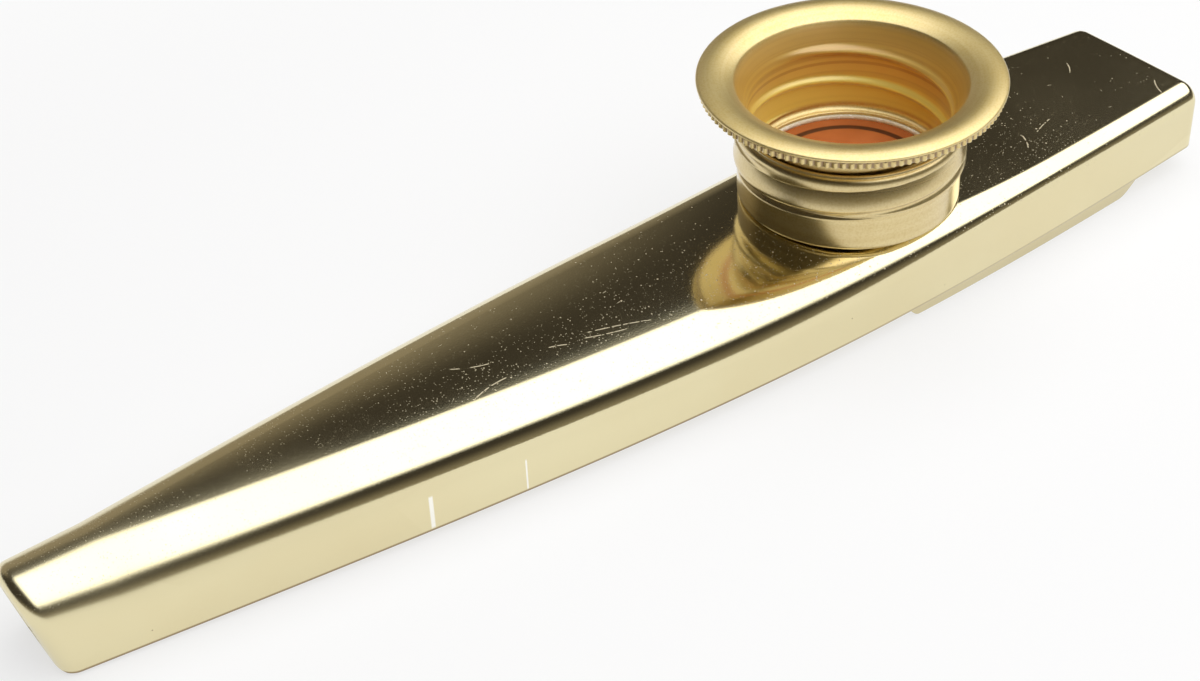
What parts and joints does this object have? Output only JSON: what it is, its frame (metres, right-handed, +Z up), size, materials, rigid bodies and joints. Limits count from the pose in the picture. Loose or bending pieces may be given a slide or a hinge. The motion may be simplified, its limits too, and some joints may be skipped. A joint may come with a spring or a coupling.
{
  "type": "kazoo",
  "caption": "Pressed-metal kazoo: boat-shaped sheet body with a threaded turret, a flared screw cap and a film resonator that buzzes when hummed into.",
  "frame": {"origin": "on the table, under the middle of the body", "axes": "+X from the narrow exit end to the wide mouth end, +Z up along the turret's axis"},
  "size_m": [0.1218, 0.0276, 0.0213],
  "materials": {
    "body_metal": "bright gold lacquer",
    "collar_metal": "gold lacquer",
    "cap_metal": "satin gold lacquer",
    "washer_card": "pale card",
    "film": "glossy orange film",
    "ring_fibre": "fibre"
  },
  "bodies": {
    "body": {"upper_shell": "body_metal", "lower_shell": "body_metal", "turret_collar": "collar_metal", "resonator_ring": "ring_fibre", "membrane": "film"},
    "washer": {"clamp_washer": "washer_card"},
    "cap": {"turret_cap": "cap_metal"}
  },
  "joints": [
    {"name": "cap_turn", "type": "hinge", "parent": "body", "child": "washer", "pos_m": [0.0228, 0, 0.009], "axis": [0, 0, 1], "range_deg": [0, 720]},
    {"name": "cap_lift", "type": "slide", "parent": "washer", "child": "cap", "axis": [0, 0, 1], "range_m": [0, 0.00641]}
  ],
  "couplings": [
    {"joint": "cap_lift", "follows": "cap_turn", "m_per_rad": 0.0005093}
  ]
}
